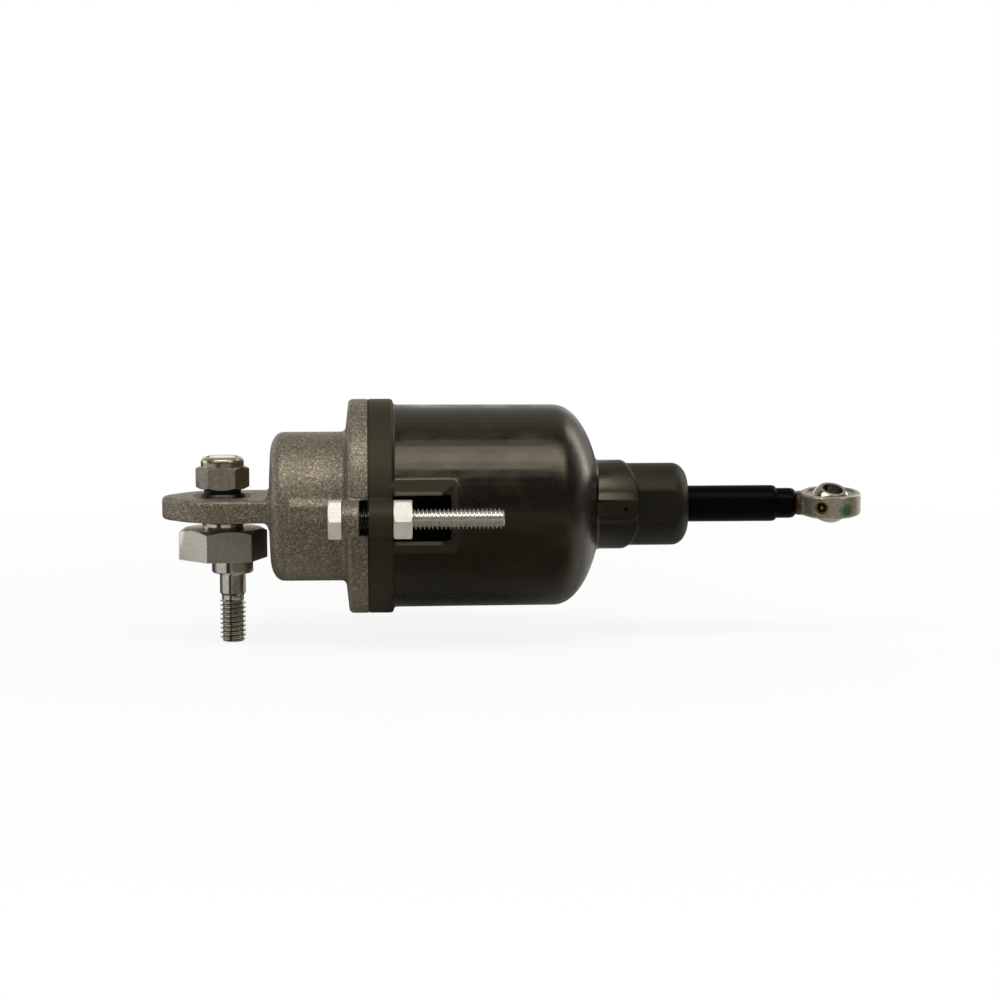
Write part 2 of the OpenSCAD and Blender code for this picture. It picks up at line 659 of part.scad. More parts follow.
module piston() color([0.3, 0.3, 0.3]) on_axis() {
  r = piston_d / 2;
  turned([[screw_d / 2 + fix_gap, head_x], [r - 1.2, head_x], [r, head_x + 1.2], [r, head_x + piston_l],
    [r - piston_skirt_t, head_x + piston_l], [r - piston_skirt_t, rod_x], [socket_d / 2, rod_x],
    [socket_d / 2 - 1, rod_x + socket_l], [rod_d / 2 + fix_gap, rod_x + socket_l],
    [rod_d / 2 + fix_gap, rod_x], [screw_d / 2 + fix_gap, rod_x]]);
}

module diaphragm_plate() color([0.6, 0.6, 0.6]) on_axis() {
  x = crown_set - soft_gap;
  turned([[screw_d / 2 + fix_gap, x - plate_t], [plate_d / 2 - 0.6, x - plate_t],
    [plate_d / 2, x - plate_t + 0.6], [plate_d / 2, x], [screw_d / 2 + fix_gap, x]]);
}

module piston_screw() color([0.7, 0.7, 0.7]) on_axis() translate([crown_set - soft_gap - plate_t, 0, 0]) {
  rotate([0, -90, 0]) hexagon(screw_af, screw_head_h, false, true);
  bar(-1, plate_t + 2 * soft_gap + diaphragm_t + piston_head_t + screw_grip, screw_d);
}

module actuator_rod() color([0.07, 0.07, 0.07]) on_axis() difference() {
  r = rod_d / 2;
  e = rod_end_d / 2;
  t = (e - shank_d / 2) * 0.8;
  turned(concat([[0, rod_x], [r - 0.4, rod_x], [r, rod_x + 0.4]],
    arc(e, shoulder_x - rod_round_l, r - e, rod_round_l, 0, 90, 5),
    arc(e - t, rod_tip_x - rod_tip_l, t, rod_tip_l, 0, 90, 5), [[0, rod_tip_x]]));
  bar(rod_x - 1, rod_x + screw_grip + 1, screw_d + 2 * fix_gap);
  bar(rod_tip_x - shank_grip - 1, rod_tip_x + 1, shank_d + 2 * fix_gap);
  for (s = [0, 180]) rotate([eye_roll + s, 0, 0])
    translate([shoulder_x + 0.4, rod_flats / 2, -10]) cube([rod_end_l - 1.2, 10, 20]);
}

// Eye, tapered neck and shank of the rod end, in the eye's own frame
module rod_end_body() color([0.62, 0.58, 0.5]) at_eye() difference() {
  r = eye_d / 2;
  h = eye_t / 2;
  f = eye_edge;
  union() {
    rotate_extrude() polygon(concat([[0, -h], [r - f, -h]], arc(r - f, -h + f, f, f, -90, 0, 5),
      arc(r - f, h - f, f, f, 0, 90, 5), [[0, h]]));
    intersection() {
      translate([0, 0, -h]) linear_extrude(eye_t)
        polygon([[-eye_reach, -eye_neck_d / 2], [-eye_reach, eye_neck_d / 2], [-r * 0.42, r * 0.88],
          [0, r * 0.88], [0, -r * 0.88], [-r * 0.42, -r * 0.88]]);
      turned([[0, -eye_reach], [eye_neck_d / 2 - 0.4, -eye_reach], [eye_neck_d / 2, -eye_reach + 0.4],
        [eye_neck_d / 2 + 0.3, -eye_reach + 2], [r + 1, -r * 0.4], [r + 1, 0], [0, 0]]);
    }
    bar(-eye_reach - shank_grip, -eye_reach + 1, shank_d);
  }
  cylinder(d = eye_race_d + 2 * fix_gap, h = 20, center = true);
  for (s = [-1, 1]) translate([-20, s * (eye_side + 10) - 10, -10]) cube([40, 20, 20]);
  rotate([0, 0, -oiler_turn]) rotate([90, 0, 0]) cylinder(d = oiler_d + 2 * fix_gap, h = 20);
}

module rod_end_race() color([0.4, 0.38, 0.33]) at_eye() ball_seat(eye_race_d, eye_race_w, eye_ball_d);

module rod_end_oiler() color([0.6, 0.55, 0.2]) at_eye() rotate([0, 0, -oiler_turn]) rotate([90, 0, 0]) {
  foot = eye_race_d / 2 + fix_gap;
  r = oiler_d / 2;
  face = min(eye_d / 2 - 0.25, (eye_side - r * sin(oiler_turn)) / cos(oiler_turn));
  rotate_extrude() polygon([[0, foot], [r, foot], [r, face], [r - 0.4, face],
    [r - 0.8, face - 0.8], [0, face - 0.8]]);
  translate([0, 0, foot + 0.1 + oiler_d / 8]) sphere(d = oiler_d / 4);
}

module rod_end_ball() color([0.8, 0.78, 0.72]) at_eye()
  rotate([eye_ball_lean, 0, 0]) rotate([0, eye_ball_tilt, 0])
  drilled_ball(eye_ball_d, eye_ball_w, eye_bore_d);

mounting_stud();
spacer_washer();
stud_locknut();
locknut_insert();
lug_ball();
lug_race();
end_cap();
diaphragm();
body_housing();
flange_bolts();
flange_nuts();
return_spring();
rod_bush();
piston();
diaphragm_plate();
piston_screw();
actuator_rod();
rod_end_body();
rod_end_race();
rod_end_oiler();
rod_end_ball();
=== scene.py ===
import math

import bpy
from mathutils import Matrix, Quaternion, Vector


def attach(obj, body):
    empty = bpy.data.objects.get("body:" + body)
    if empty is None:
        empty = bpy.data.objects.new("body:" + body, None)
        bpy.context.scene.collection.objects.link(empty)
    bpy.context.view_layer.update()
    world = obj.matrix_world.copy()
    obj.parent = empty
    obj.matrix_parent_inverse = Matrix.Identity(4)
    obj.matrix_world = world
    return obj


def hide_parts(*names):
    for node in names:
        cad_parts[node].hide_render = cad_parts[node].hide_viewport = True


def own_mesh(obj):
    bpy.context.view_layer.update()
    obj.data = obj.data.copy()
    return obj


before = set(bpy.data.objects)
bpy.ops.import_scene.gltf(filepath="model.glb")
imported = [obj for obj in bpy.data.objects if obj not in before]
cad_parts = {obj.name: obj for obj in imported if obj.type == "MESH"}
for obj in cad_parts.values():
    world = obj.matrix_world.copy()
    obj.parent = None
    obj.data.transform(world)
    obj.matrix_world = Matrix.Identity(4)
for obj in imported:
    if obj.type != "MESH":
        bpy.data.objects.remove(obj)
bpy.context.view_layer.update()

# Camera
# A long lens a little above the cylinder and square to its side, so the lug is seen edge-on.
# It stands far off, which flattens the view, and is tipped by a fraction of a degree.
look_at = Vector((0.0824, 0.0, 0.0218))
camera_away = 1.231
camera_azimuth = math.radians(-1.6)
camera_elevation = math.radians(6.5)
camera_roll = math.radians(-0.22)
camera_back = Vector((
    math.sin(camera_azimuth) * math.cos(camera_elevation),
    -math.cos(camera_azimuth) * math.cos(camera_elevation),
    math.sin(camera_elevation),
))
bpy.ops.object.camera_add()
camera = bpy.context.object
camera.name = "side_camera"
camera.data.sensor_width = 36
camera.data.lens = 144
camera.data.clip_end = 50
camera.location = look_at + camera_back * camera_away
camera_turn = (-camera_back).to_track_quat("-Z", "Y") @ Quaternion((0, 0, 1), camera_roll)
camera.rotation_euler = camera_turn.to_euler()
bpy.context.scene.camera = camera
bpy.context.scene.view_settings.view_transform = "Standard"

# Floor and light
# A pale floor under the stud's tip and a pale sky, both white to the camera. Bright metal sees the floor
# in light and dark sectors, like a light tent's panels. A broad lamp hangs in front, with three weak cards.


def add_node(tree, kind, values):
    node = tree.nodes.new(kind)
    for socket, value in values.items():
        node.inputs[socket].default_value = value
    return node


def feed(tree, source, socket):
    if isinstance(source, bpy.types.NodeSocket):
        tree.links.new(source, socket)
    else:
        socket.default_value = source


def calculate(tree, operation, *values):
    node = tree.nodes.new("ShaderNodeMath")
    node.operation = operation
    for value, socket in zip(values, node.inputs):
        feed(tree, value, socket)
    return node.outputs[0]


def vector_math(tree, operation, source, value=None):
    node = tree.nodes.new("ShaderNodeVectorMath")
    node.operation = operation
    tree.links.new(source, node.inputs[0])
    if value is not None:
        node.inputs[1].default_value = value
    return node.outputs


def spread(tree, value, low, high, to_low, to_high):
    node = add_node(tree, "ShaderNodeMapRange", {1: low, 2: high, 3: to_low, 4: to_high})
    tree.links.new(value, node.inputs[0])
    return node.outputs[0]


def mix_value(tree, share, low, high):
    node = tree.nodes.new("ShaderNodeMix")
    feed(tree, share, node.inputs[0])
    feed(tree, low, node.inputs[2])
    feed(tree, high, node.inputs[3])
    return node.outputs[0]


def mix_colour(tree, share, low, high):
    node = tree.nodes.new("ShaderNodeMix")
    node.data_type = "RGBA"
    feed(tree, share, node.inputs[0])
    feed(tree, low, node.inputs[6])
    feed(tree, high, node.inputs[7])
    return node.outputs[2]


def mix_shader(tree, share, low, high):
    node = tree.nodes.new("ShaderNodeMixShader")
    feed(tree, share, node.inputs[0])
    tree.links.new(low, node.inputs[1])
    tree.links.new(high, node.inputs[2])
    return node.outputs[0]


floor_z = -0.0215
floor_size = 12
floor_middle = (0.0824, 0.0, floor_z)
fade_r = (0.08, 0.4)
white_share = (0.88, 1.0)
bounce_white = (0.93, 0.91, 0.86, 1)
mat_grey = (0.17, 0.16, 0.14, 1)
# A mat has its middle, the radius where it starts to fade and the radius where it is gone.
dark_mats = (((0.09, -0.12, floor_z), 0.09, 0.13), ((0.47, -0.13, floor_z), 0.2, 0.26))
# A panel's edge has its share of a turn and its grey.
panel_edges = [
    (0.0, 0.8), (0.15, 0.8), (0.165, 0.05), (0.215, 0.05), (0.235, 0.54), (0.37, 0.54),
    (0.4, 0.85), (0.6, 0.85), (0.64, 0.12), (0.93, 0.12), (1.0, 0.8)]
bpy.ops.mesh.primitive_plane_add(size=floor_size, location=(0, 0, floor_z))
floor = bpy.context.object
floor.name = "floor"
floor_paint = bpy.data.materials.new("pale_floor")
floor_paint.use_nodes = True
floor_tree = floor_paint.node_tree
floor_tree.nodes.clear()
floor_out = floor_tree.nodes.new("ShaderNodeOutputMaterial")
floor_seen = floor_tree.nodes.new("ShaderNodeLightPath").outputs
floor_place = floor_tree.nodes.new("ShaderNodeNewGeometry").outputs["Position"]
tent_angle = floor_tree.nodes.new("ShaderNodeTexGradient")
tent_angle.gradient_type = "RADIAL"
floor_tree.links.new(floor_place, tent_angle.inputs[0])
tent_panels = floor_tree.nodes.new("ShaderNodeValToRGB")
floor_tree.links.new(tent_angle.outputs[1], tent_panels.inputs[0])
tent_stops = tent_panels.color_ramp.elements
while len(tent_stops) < len(panel_edges):
    tent_stops.new(0.5)
for stop, (turn, grey) in zip(tent_stops, panel_edges):
    stop.position = turn
    stop.color = (grey, grey, grey, 1)
mat_fades = []
for mat_middle, mat_edge, mat_end in dark_mats:
    mat_away = vector_math(floor_tree, "DISTANCE", floor_place, mat_middle)["Value"]
    mat_fades.append(spread(floor_tree, mat_away, mat_edge, mat_end, 0.0, 1.0))
off_mats = calculate(floor_tree, "MINIMUM", *mat_fades)
tent_floor = mix_colour(floor_tree, off_mats, mat_grey, tent_panels.outputs[0])
floor_bounce = mix_colour(floor_tree, floor_seen["Is Glossy Ray"], bounce_white, tent_floor)
floor_unseen = floor_tree.nodes.new("ShaderNodeBsdfDiffuse")
floor_tree.links.new(floor_bounce, floor_unseen.inputs["Color"])
floor_pale = add_node(floor_tree, "ShaderNodeBsdfDiffuse", {"Color": (0.9, 0.9, 0.9, 1)})
floor_white = floor_tree.nodes.new("ShaderNodeEmission")
floor_away = vector_math(floor_tree, "DISTANCE", floor_place, floor_middle)["Value"]
floor_fade = spread(floor_tree, floor_away, *fade_r, *white_share)
floor_view = mix_shader(floor_tree, floor_fade, floor_pale.outputs[0], floor_white.outputs[0])
floor_mix = mix_shader(floor_tree, floor_seen["Is Camera Ray"], floor_unseen.outputs[0], floor_view)
floor_tree.links.new(floor_mix, floor_out.inputs[0])
floor.data.materials.append(floor_paint)

warm_white = (1.0, 0.97, 0.9)
cool_white = (0.88, 0.94, 1.0)
soft_strength = 0.13
backdrop_edge = (0.04, 0.32)
backdrop_strength = (0.05, 0.45)
sky = bpy.data.worlds.new("studio")
bpy.context.scene.world = sky
sky.use_nodes = True
sky_tree = sky.node_tree
sky_tree.nodes.clear()
sky_out = sky_tree.nodes.new("ShaderNodeOutputWorld")
sky_seen = sky_tree.nodes.new("ShaderNodeLightPath").outputs
sky_way = sky_tree.nodes.new("ShaderNodeTexCoord")
sky_parts = sky_tree.nodes.new("ShaderNodeSeparateXYZ")
sky_tree.links.new(sky_way.outputs["Generated"], sky_parts.inputs[0])
sky_backdrop = spread(sky_tree, sky_parts.outputs["Y"], *backdrop_edge, *backdrop_strength)
sky_shiny = calculate(sky_tree, "MAXIMUM", sky_seen["Is Glossy Ray"], sky_seen["Is Transmission Ray"])
sky_soft = add_node(sky_tree, "ShaderNodeBackground", {"Color": (*warm_white, 1)})
sky_strength = mix_value(sky_tree, sky_shiny, soft_strength, sky_backdrop)
sky_tree.links.new(sky_strength, sky_soft.inputs["Strength"])
sky_white = add_node(sky_tree, "ShaderNodeBackground", {"Color": (1, 1, 1, 1)})
sky_mix = mix_shader(sky_tree, sky_seen["Is Camera Ray"], sky_soft.outputs[0], sky_white.outputs[0])
sky_tree.links.new(sky_mix, sky_out.inputs[0])


def hang_lamp(name, place, size, watts, colour):
    bpy.ops.object.light_add(type="AREA", location=place)
    lamp = bpy.context.object
    lamp.name = name
    lamp.data.shape = "RECTANGLE"
    lamp.data.size, lamp.data.size_y = size
    lamp.data.energy = watts
    lamp.data.color = colour
    lamp.rotation_euler = (look_at - Vector(place)).to_track_quat("-Z", "Y").to_euler()


hang_lamp("key_lamp", (0.07, -0.47, 0.905), (1.8, 0.48), 10.5, warm_white)
hang_lamp("back_card", (-0.1, 1.0, 0.3), (1.3, 0.4), 1.0, warm_white)
hang_lamp("left_card", (-0.86, 0.26, 0.12), (0.5, 0.5), 1.6, cool_white)
hang_lamp("rim_card", (0.37, 0.19, 0.16), (0.08, 0.36), 0.35, warm_white)

# End cap
# The air-side cap with its lug is an aluminium casting, shot-blasted all over, so no edge of it is sharp.
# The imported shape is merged, remeshed in fine cells and relaxed, which rounds its edges like a casting's.
MM = 0.001
close_by = 0.01 * MM


def pick(piece):
    if bpy.context.object and bpy.context.object.mode != "OBJECT":
        bpy.ops.object.mode_set(mode="OBJECT")
    bpy.ops.object.select_all(action="DESELECT")
    piece.select_set(True)
    bpy.context.view_layer.objects.active = piece


def apply_modifiers(piece):
    pick(piece)
    for modifier in list(piece.modifiers):
        bpy.ops.object.modifier_apply(modifier=modifier.name)


def merged_copy(node, name):
    piece = bpy.data.objects.new(name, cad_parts[node].data.copy())
    bpy.context.scene.collection.objects.link(piece)
    pick(piece)
    bpy.ops.object.mode_set(mode="EDIT")
    bpy.ops.mesh.select_all(action="SELECT")
    bpy.ops.mesh.remove_doubles(threshold=0.002 * MM)
    bpy.ops.object.mode_set(mode="OBJECT")
    bpy.ops.mesh.customdata_custom_splitnormals_clear()
    return piece


# A mating end is drawn out before it is softened and cut back after, so that its face stays flat and sharp.
def stretch_end(piece, end_x, reach):
    pick(piece)
    bpy.ops.object.mode_set(mode="EDIT")
    bpy.ops.mesh.select_mode(type="VERT")
    bpy.ops.mesh.select_all(action="DESELECT")
    bpy.ops.object.mode_set(mode="OBJECT")
    for corner in piece.data.vertices:
        corner.select = abs(corner.co.x - end_x * MM) < close_by
    bpy.ops.object.mode_set(mode="EDIT")
    bpy.ops.transform.translate(value=(reach * MM, 0, 0))
    bpy.ops.object.mode_set(mode="OBJECT")


def trim_end(piece, end_x, side):
    pick(piece)
    bpy.ops.object.mode_set(mode="EDIT")
    bpy.ops.mesh.select_all(action="SELECT")
    cut = {"plane_co": (end_x * MM, 0, 0), "plane_no": (1, 0, 0), "use_fill": True, side: True}
    bpy.ops.mesh.bisect(**cut)
    bpy.ops.object.mode_set(mode="OBJECT")


def soften(piece, cell, rounds, share):
    remesh = piece.modifiers.new("cells", "REMESH")
    remesh.mode = "VOXEL"
    remesh.voxel_size = cell * MM
    relax = piece.modifiers.new("relax", "SMOOTH")
    relax.factor = 0.5
    relax.iterations = rounds
    thin = piece.modifiers.new("thin", "DECIMATE")
    thin.ratio = share
    apply_modifiers(piece)
    bpy.ops.object.shade_smooth()


def round_shade(piece, angle):
    pick(piece)
    bpy.ops.object.shade_smooth_by_angle(angle=math.radians(angle))


def object_axes(tree):
    place = tree.nodes.new("ShaderNodeTexCoord")
    parts = tree.nodes.new("ShaderNodeSeparateXYZ")
    tree.links.new(place.outputs["Object"], parts.inputs[0])
    return parts.outputs


noise_range = (0.3, 0.7)
grain_group = bpy.data.node_groups.new("Surface grain", "ShaderNodeTree")
grain_group.interface.new_socket(name="Scale", in_out="INPUT", socket_type="NodeSocketFloat")
for socket_name in ("Fine", "Patches", "Sparkle"):
    grain_group.interface.new_socket(name=socket_name, in_out="OUTPUT", socket_type="NodeSocketFloat")
grain_in = grain_group.nodes.new("NodeGroupInput")
grain_out = grain_group.nodes.new("NodeGroupOutput")
grain_place = grain_group.nodes.new("ShaderNodeTexCoord")
grain_fine = add_node(grain_group, "ShaderNodeTexNoise", {"Detail": 3.0, "Roughness": 0.65})
grain_patch = add_node(
    grain_group, "ShaderNodeTexNoise", {"Scale": 110.0, "Detail": 4.0, "Roughness": 0.6})
grain_cells = grain_group.nodes.new("ShaderNodeTexVoronoi")
for texture in (grain_fine, grain_patch, grain_cells):
    grain_group.links.new(grain_place.outputs["Object"], texture.inputs["Vector"])
for texture in (grain_fine, grain_cells):
    grain_group.links.new(grain_in.outputs["Scale"], texture.inputs["Scale"])
grain_split = grain_group.nodes.new("ShaderNodeSeparateColor")
grain_group.links.new(grain_cells.outputs["Color"], grain_split.inputs[0])
grain_sparkle = spread(grain_group, grain_split.outputs[0], 0.8, 1.0, 0.0, 1.0)
grain_group.links.new(grain_fine.outputs[0], grain_out.inputs["Fine"])
grain_group.links.new(grain_patch.outputs[0], grain_out.inputs["Patches"])
grain_group.links.new(grain_sparkle, grain_out.inputs["Sparkle"])


# Fine grain sets a finish's tone and bump, and broad patches set its roughness.
def finish(name, dark, light, rough, metallic, grain, depth, specular=0.5):
    material = bpy.data.materials.new(name)
    material.use_nodes = True
    tree = material.node_tree
    skin = tree.nodes["Principled BSDF"]
    marks = tree.nodes.new("ShaderNodeGroup")
    marks.name = "marks"
    marks.node_tree = grain_group
    marks.inputs["Scale"].default_value = grain
    tone = spread(tree, marks.outputs["Fine"], *noise_range, 0.0, 1.0)
    feed(tree, mix_colour(tree, tone, (*dark, 1), (*light, 1)), skin.inputs["Base Color"])
    feed(tree, spread(tree, marks.outputs["Patches"], *noise_range, *rough), skin.inputs["Roughness"])
    skin.inputs["Metallic"].default_value = metallic
    skin.inputs["Specular IOR Level"].default_value = specular
    bump = add_node(tree, "ShaderNodeBump", {"Strength": 0.5, "Distance": depth * MM})
    tree.links.new(marks.outputs["Fine"], bump.inputs["Height"])
    tree.links.new(bump.outputs[0], skin.inputs["Normal"])
    return material


def overlay(material, mask, colour):
    tree = material.node_tree
    base = tree.nodes["Principled BSDF"].inputs["Base Color"]
    feed(tree, mix_colour(tree, mask, base.links[0].from_socket, colour), base)


def coat(piece, material):
    if len(piece.material_slots) == 0:
        piece.data.materials.append(material)
    for slot in piece.material_slots:
        slot.material = material


axis_z = 20.3
joint_x = 41.8
end_spare = 1.5
notch_deep = 2.4
notch_half = 5.3
mask_blur = 0.3
cast_skin = finish(
    "blasted_casting", dark=(0.05, 0.043, 0.033), light=(0.33, 0.288, 0.22), rough=(0.42, 0.55),
    metallic=0.5, grain=1900.0, depth=0.16)
cast_tree = cast_skin.node_tree
overlay(cast_skin, cast_tree.nodes["marks"].outputs["Sparkle"], (0.4, 0.36, 0.285, 1))
# Painted shade: the cast colour turns near black in a band by the joint, level with the axis, where the
# ears' notches lie in shadow.
cast_axes = object_axes(cast_tree)
notch_start = joint_x - notch_deep
notch_along = spread(cast_tree, cast_axes["X"], (notch_start - mask_blur) * MM, notch_start * MM, 0.0, 1.0)
notch_off = calculate(cast_tree, "ABSOLUTE", calculate(cast_tree, "SUBTRACT", cast_axes["Z"], axis_z * MM))
notch_across = spread(cast_tree, notch_off, notch_half * MM, (notch_half - mask_blur) * MM, 0.0, 1.0)
painted_notch_shade = calculate(cast_tree, "MINIMUM", notch_along, notch_across)
overlay(cast_skin, painted_notch_shade, (0.004, 0.0038, 0.003, 1))
cast_cap = merged_copy("end_cap", "cast_cap")
stretch_end(cast_cap, joint_x, end_spare)
soften(cast_cap, cell=0.45, rounds=4, share=0.7)
trim_end(cast_cap, joint_x, "clear_outer")
round_shade(cast_cap, angle=50)
coat(cast_cap, cast_skin)
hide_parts("end_cap")
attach(cast_cap, "housing")

# Lug bearing
# A dark oiled ball, turned and clamped on the stud's pin, in a black plastic race pressed into the lug.
# Both are plain round pieces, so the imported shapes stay.
oiled_ball_skin = finish(
    "oiled_ball", dark=(0.02, 0.02, 0.019), light=(0.05, 0.048, 0.045), rough=(0.3, 0.45),
    metallic=1.0, grain=900.0, depth=0.004)
race_skin = finish(
    "race_plastic", dark=(0.01, 0.01, 0.01), light=(0.03, 0.03, 0.028), rough=(0.4, 0.6),
    metallic=0.0, grain=1100.0, depth=0.03)
coat(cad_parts["lug_ball"], oiled_ball_skin)
coat(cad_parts["lug_race"], race_skin)

# Mounting stud
# One turned steel piece, bright plated: thread, relief, shank and collar below, an eccentric hexagon,
# and the pin above it that carries the ball. The thread is a real helix, cut to length and chamfered.


def drawn_line(name, points):
    bpy.ops.mesh.primitive_plane_add(size=MM)
    piece = bpy.context.object
    piece.name = name
    bpy.ops.object.mode_set(mode="EDIT")
    bpy.ops.mesh.select_mode(type="VERT")
    bpy.ops.mesh.select_all(action="SELECT")
    bpy.ops.mesh.merge(type="CENTER")
    steps = [points[0]] + [(b[0] - a[0], b[1] - a[1]) for a, b in zip(points, points[1:])]
    for number, (out, up) in enumerate(steps):
        if number == 0:
            bpy.ops.transform.translate(value=(out * MM, 0, up * MM))
        else:
            bpy.ops.mesh.extrude_vertices_move(TRANSFORM_OT_translate={"value": (out * MM, 0, up * MM)})
    bpy.ops.object.mode_set(mode="OBJECT")
    return piece


def tidy_shell(piece):
    pick(piece)
    bpy.ops.object.mode_set(mode="EDIT")
    bpy.ops.mesh.select_all(action="SELECT")
    bpy.ops.mesh.remove_doubles(threshold=0.001 * MM)
    bpy.ops.mesh.normals_make_consistent(inside=False)
    bpy.ops.object.mode_set(mode="OBJECT")


def lathed(name, points, steps=72):
    piece = drawn_line(name, points)
    bpy.ops.object.mode_set(mode="EDIT")
    bpy.ops.mesh.select_all(action="SELECT")
    bpy.ops.mesh.spin(steps=steps, angle=2 * math.pi, center=(0, 0, 0), axis=(0, 0, 1))
    tidy_shell(piece)
    return piece


def cut_with(piece, tool, operation):
    cut = piece.modifiers.new("cut", "BOOLEAN")
    cut.operation = operation
    cut.solver = "EXACT"
    cut.object = tool
    apply_modifiers(piece)
    bpy.data.objects.remove(tool)


def threaded(name, crest, pitch, length, chamfer):
    # The tooth's depth and heights are shares of one pitch.
    depth_share = 0.61
    spare_turns = 3
    root = crest - depth_share * pitch
    tooth = [(root, 0), (root, 0.25), (crest, 0.5625), (crest, 0.6875), (root, 1)]
    piece = drawn_line(name, [(out, (up - 1) * pitch) for out, up in tooth])
    helix = piece.modifiers.new("helix", "SCREW")
    helix.axis = "Z"
    helix.screw_offset = pitch * MM
    helix.iterations = math.ceil(length / pitch) + spare_turns
    helix.steps = 36
    helix.render_steps = 36
    apply_modifiers(piece)
    tidy_shell(piece)
    bpy.ops.object.mode_set(mode="EDIT")
    for height, side in ((0, "clear_inner"), (length + 0.3, "clear_outer")):
        bpy.ops.mesh.select_all(action="SELECT")
        cut = {"plane_co": (0, 0, height * MM), "plane_no": (0, 0, 1), "use_fill": True, side: True}
        bpy.ops.mesh.bisect(**cut)
    tidy_shell(piece)
    outside = crest + 0.2
    blank = [
        (0, -1), (outside, -1), (outside, length - chamfer - 0.2), (crest - chamfer, length), (0, length)]
    cut_with(piece, lathed("blank", blank), "INTERSECT")
    return piece


def hexagon(name, flats, height):
    chamfer_slope = 0.62
    corner = flats / math.sqrt(3)
    outside = corner + 0.1
    drop = (corner - flats / 2) * chamfer_slope
    bpy.ops.mesh.primitive_cylinder_add(
        vertices=6, radius=corner * MM, depth=height * MM, location=(0, 0, height / 2 * MM))
    piece = bpy.context.object
    piece.name = name
    bpy.ops.object.transform_apply(location=True)
    top = height + 0.01
    turning = [(0, -1), (outside, -1), (outside, height - drop), (flats / 2, top), (0, top)]
    cut_with(piece, lathed("turning", turning), "INTERSECT")
    return piece


def place(piece, turn, move):
    pick(piece)
    piece.data.transform(Matrix.Translation(Vector(move) * MM) @ turn.to_4x4())


def joined(name, pieces):
    pick(pieces[0])
    for piece in pieces[1:]:
        piece.select_set(True)
    bpy.ops.object.join()
    pieces[0].name = name
    return pieces[0]


stud_r = 3.97
stud_pitch = 1.411
stud_tip = -21.2
thread_top = -8.5
relief_r = 3.4
collar_r = 6.35
seat_r = 6.4
pin_r = 4.76
pin_top = 35.85
pivot_x = -2.8
hexagon_flats = 23.8
hexagon_turn = math.radians(41)
hexagon_foot = 4.4
hexagon_top = 13.8
ball_seat = 15.9
stud_thread = threaded(
    "stud_thread", crest=stud_r, pitch=stud_pitch, length=thread_top - stud_tip, chamfer=0.9)
place(stud_thread, Matrix.Rotation(math.pi, 3, "X"), (0, 0, thread_top))
stud_shank = lathed("stud_shank", [
    (0, -8.7), (relief_r - 0.2, -8.7), (relief_r, -8.2), (relief_r, -6.9),
    (stud_r - 0.2, -6.4), (stud_r, -6.2), (stud_r, -0.5), (4.2, -0.1), (4.6, 0),
    (collar_r - 0.8, 0), (collar_r - 0.4, 0.1), (collar_r - 0.1, 0.4), (collar_r, 0.8),
    (collar_r, hexagon_foot + 0.2), (0, hexagon_foot + 0.2)])
stud_hexagon = hexagon("stud_hexagon", hexagon_flats, hexagon_top - hexagon_foot)
hexagon_edge = stud_hexagon.modifiers.new("edge", "BEVEL")
hexagon_edge.width = 0.2 * MM
hexagon_edge.segments = 1
hexagon_edge.limit_method = "ANGLE"
hexagon_edge.angle_limit = math.radians(40)
apply_modifiers(stud_hexagon)
place(stud_hexagon, Matrix.Rotation(hexagon_turn, 3, "Z"), (pivot_x, 0, hexagon_foot))
stud_pin = lathed("stud_pin", [
    (0, hexagon_top - 0.3), (seat_r - 0.3, hexagon_top - 0.3), (seat_r, hexagon_top),
    (seat_r, ball_seat - 0.4), (seat_r - 0.3, ball_seat), (pin_r, ball_seat),
    (pin_r, pin_top - 0.85), (3.9, pin_top), (0, pin_top)])
place(stud_pin, Matrix.Identity(3), (pivot_x, 0, 0))
turned_skin = finish(
    "bright_plate", dark=(0.5, 0.48, 0.44), light=(0.68, 0.66, 0.62), rough=(0.06, 0.14),
    metallic=1.0, grain=900.0, depth=0.006)
satin_skin = finish(
    "satin_plate", dark=(0.4, 0.37, 0.31), light=(0.6, 0.57, 0.5), rough=(0.16, 0.28),
    metallic=1.0, grain=2000.0, depth=0.03)
hexagon_skin = finish(
    "grained_plate", dark=(0.42, 0.395, 0.34), light=(0.78, 0.74, 0.65), rough=(0.3, 0.44),
    metallic=1.0, grain=2600.0, depth=0.12)
coat(stud_shank, turned_skin)
coat(stud_pin, turned_skin)
coat(stud_thread, satin_skin)
coat(stud_hexagon, hexagon_skin)
stud = joined("threaded_stud", [stud_shank, stud_thread, stud_hexagon, stud_pin])
round_shade(stud, angle=25)
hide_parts("mounting_stud")
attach(stud, "stud")

# Spacer, lock nut and its insert
# A black steel spacer, a nickel-plated lock nut and the nylon ring crimped into its collar.
# They are bought parts with plain shapes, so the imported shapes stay.
spacer_skin = finish(
    "black_oxide", dark=(0.008, 0.008, 0.008), light=(0.025, 0.024, 0.022), rough=(0.3, 0.5),
    metallic=0.6, grain=1200.0, depth=0.02)
nut_skin = finish(
    "warm_nickel", dark=(0.37, 0.325, 0.25), light=(0.52, 0.465, 0.365), rough=(0.18, 0.34),
    metallic=0.97, grain=800.0, depth=0.01)
nylon_skin = finish(
    "nylon_ring", dark=(0.55, 0.52, 0.43), light=(0.7, 0.68, 0.6), rough=(0.45, 0.6),
    metallic=0.0, grain=900.0, depth=0.03)
coat(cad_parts["spacer_washer"], spacer_skin)
coat(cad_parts["stud_locknut"], nut_skin)
coat(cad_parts["locknut_insert"], nylon_skin)

